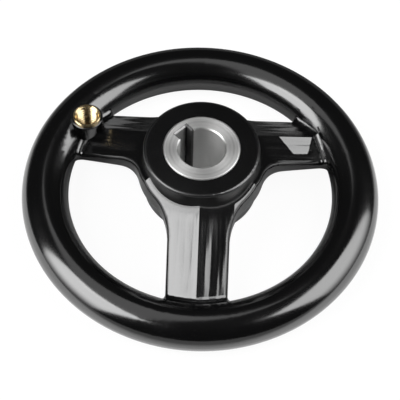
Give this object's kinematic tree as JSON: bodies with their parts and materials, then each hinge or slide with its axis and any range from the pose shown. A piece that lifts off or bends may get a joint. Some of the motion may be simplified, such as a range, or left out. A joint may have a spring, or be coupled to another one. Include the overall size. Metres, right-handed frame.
{
  "type": "handwheel",
  "caption": "Glossy black moulded machine handwheel with an oval rim, sloping spokes, a keyed steel bush in its raised hub and a threaded brass insert for a crank handle.",
  "frame": {"origin": "on the bore axis, in the plane that the rear of the rim lies on", "axes": "+Z along the bore axis to the operator's side, -Y along one spoke; the spoke with the handle insert points to 150 degrees from +X"},
  "size_m": [0.125, 0.125, 0.0335],
  "materials": {
    "moulding": "polished black thermoset moulding",
    "bush": "fine turned",
    "insert": "turned, bright"
  },
  "bodies": {
    "root": {"wheel_body": "moulding", "hub_bush": "bush", "handle_insert": "insert"}
  },
  "joints": []
}
